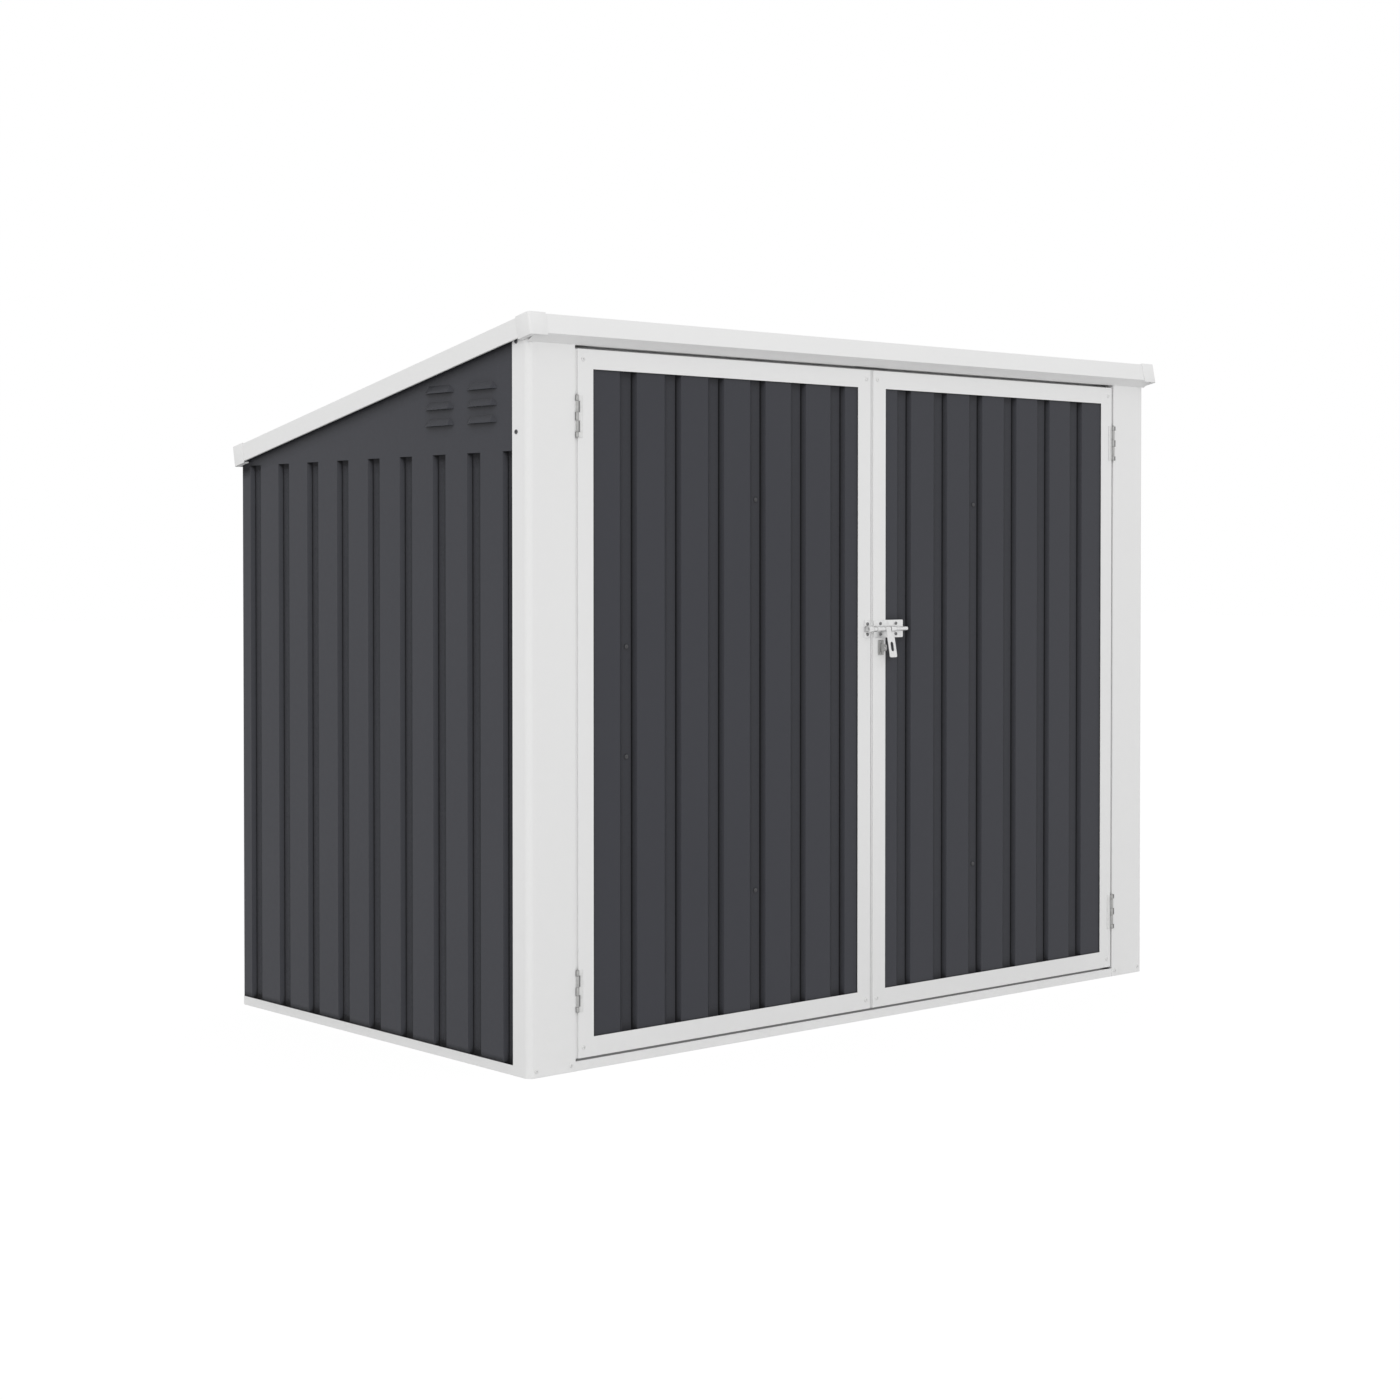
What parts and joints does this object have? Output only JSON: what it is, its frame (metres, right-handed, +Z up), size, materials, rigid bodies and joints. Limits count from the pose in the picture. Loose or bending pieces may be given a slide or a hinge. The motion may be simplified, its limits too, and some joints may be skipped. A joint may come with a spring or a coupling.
{
  "type": "bin store",
  "caption": "Low steel bin store with grooved grey sheets in pale frames, a roof sloping to the back, outward-swinging front doors and a slide bolt with a hasp.",
  "frame": {"origin": "bottom centre of the whole store, on the ground", "axes": "+X along the front to the right as seen from the front, +Y from front to back, +Z up"},
  "size_m": [1.7246, 1.0016, 1.3394],
  "materials": {
    "pale_frame": "satin off-white paint",
    "grey_sheet": "satin dark grey paint",
    "galvanised": "galvanised",
    "hinge_steel": "zinc plated",
    "latch_zinc": "zinc plated",
    "screw_steel": "zinc plated",
    "cap_plastic": "matt off-white"
  },
  "bodies": {
    "carcass": {"base_rail_front": "pale_frame", "base_rail_left": "pale_frame", "base_rail_rear": "pale_frame", "base_rail_right": "pale_frame", "carcass_screws": "screw_steel", "front_header": "pale_frame", "front_post_left": "pale_frame", "front_post_right": "pale_frame", "hinge_pins": "hinge_steel", "post_hinge_leaf_left_lower": "hinge_steel", "post_hinge_leaf_left_upper": "hinge_steel", "post_hinge_leaf_right_lower": "hinge_steel", "post_hinge_leaf_right_upper": "hinge_steel", "rear_corner_left": "galvanised", "rear_corner_right": "galvanised", "rear_sheet_left": "grey_sheet", "rear_sheet_right": "grey_sheet", "rear_top_rail": "galvanised", "roof_cap_front_left": "cap_plastic", "roof_cap_front_right": "cap_plastic", "roof_cap_rear_left": "cap_plastic", "roof_cap_rear_right": "cap_plastic", "roof_purlin": "galvanised", "roof_sheet_left": "grey_sheet", "roof_sheet_right": "grey_sheet", "roof_trim_front": "pale_frame", "roof_trim_left": "pale_frame", "roof_trim_rear": "pale_frame", "roof_trim_right": "pale_frame", "side_top_rail_left": "galvanised", "side_top_rail_right": "galvanised", "wall_sheet_left": "grey_sheet", "wall_sheet_right": "grey_sheet"},
    "left_door": {"bolt_keeper": "latch_zinc", "door_hinge_leaf_left_lower": "hinge_steel", "door_hinge_leaf_left_upper": "hinge_steel", "left_door_bottom_rail": "pale_frame", "left_door_brace_lower": "galvanised", "left_door_brace_upper": "galvanised", "left_door_hinge_stile": "pale_frame", "left_door_meeting_stile": "pale_frame", "left_door_screws": "screw_steel", "left_door_sheet_a": "grey_sheet", "left_door_sheet_b": "grey_sheet", "left_door_top_rail": "pale_frame"},
    "right_door": {"bolt_plate": "latch_zinc", "door_hinge_leaf_right_lower": "hinge_steel", "door_hinge_leaf_right_upper": "hinge_steel", "padlock_staple": "latch_zinc", "right_door_bottom_rail": "pale_frame", "right_door_brace_lower": "galvanised", "right_door_brace_upper": "galvanised", "right_door_hinge_stile": "pale_frame", "right_door_meeting_stile": "pale_frame", "right_door_screws": "screw_steel", "right_door_sheet_a": "grey_sheet", "right_door_sheet_b": "grey_sheet", "right_door_top_rail": "pale_frame"},
    "bolt": {"bolt_rod": "latch_zinc"},
    "hasp": {"hasp_tab": "latch_zinc"}
  },
  "joints": [
    {"name": "left_door_swing", "type": "hinge", "parent": "carcass", "child": "left_door", "pos_m": [-0.74275, -0.47819, 0.142], "axis": [0, 0, -1], "range_deg": [0, 165]},
    {"name": "right_door_swing", "type": "hinge", "parent": "carcass", "child": "right_door", "pos_m": [0.74275, -0.47819, 0.142], "axis": [0, 0, 1], "range_deg": [0, 165]},
    {"name": "bolt_slide", "type": "slide", "parent": "right_door", "child": "bolt", "axis": [1, 0, 0], "range_m": [-0.013, 0.0012]},
    {"name": "hasp_swing", "type": "hinge", "parent": "bolt", "child": "hasp", "pos_m": [0.0345, -0.48369, 0.772], "axis": [-1, 0, 0], "range_deg": [-18, 150]}
  ]
}
